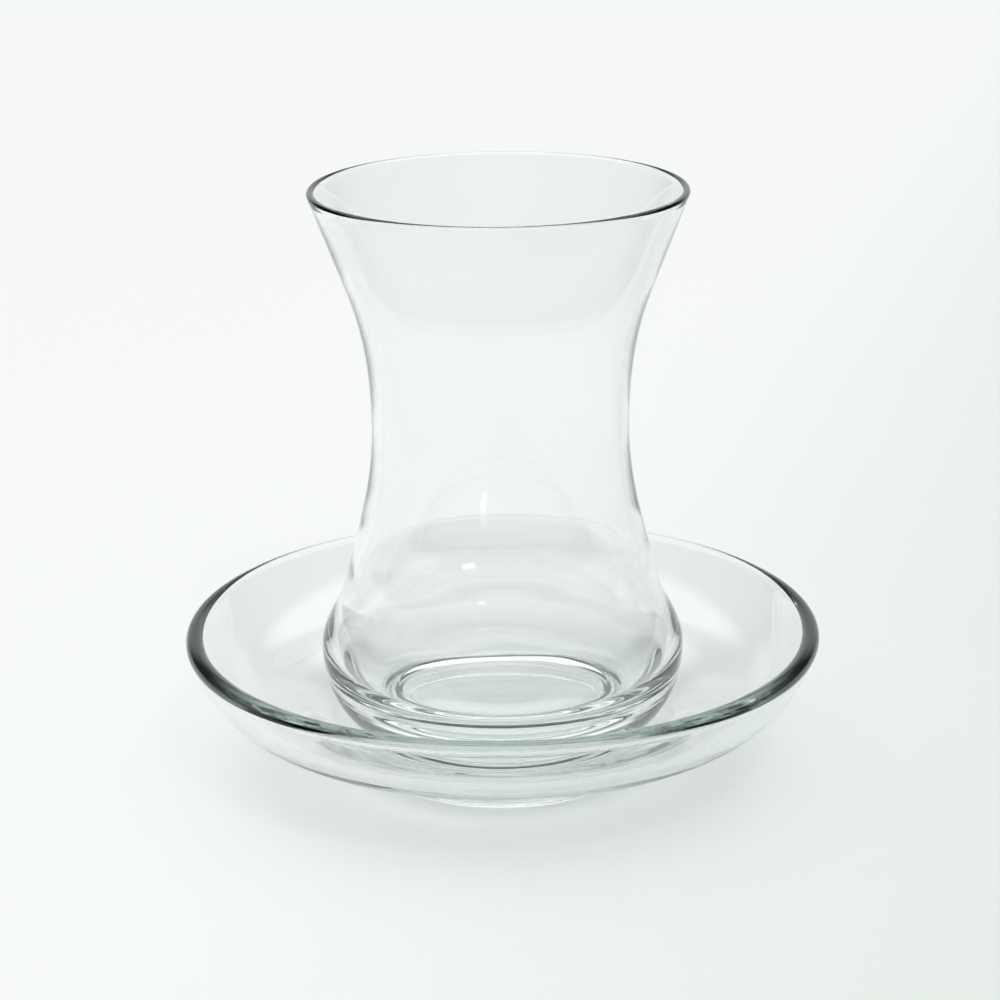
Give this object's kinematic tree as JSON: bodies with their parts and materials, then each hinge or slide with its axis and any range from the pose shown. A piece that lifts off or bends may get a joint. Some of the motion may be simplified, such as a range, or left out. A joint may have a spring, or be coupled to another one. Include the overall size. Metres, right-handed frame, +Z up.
{
  "type": "turkish tea glass",
  "caption": "Small clear waisted tea glass with a flared rim and rounded belly, standing on a round footed glass saucer; empty.",
  "frame": {"origin": "on the table, at the centre of the saucer's foot ring", "axes": "+Z up along the common axis of glass and saucer; X and Y are level and free to choose, as both pieces are round"},
  "size_m": [0.1038, 0.1038, 0.0962],
  "materials": {
    "tea_glass": "clear polished soda-lime glass, faint grey-green tint where it is thick",
    "saucer_glass": "clear pressed soda-lime glass, slightly wavy, grey-green at the thick rim"
  },
  "bodies": {
    "root": {"glass": "tea_glass", "saucer": "saucer_glass"}
  },
  "joints": []
}
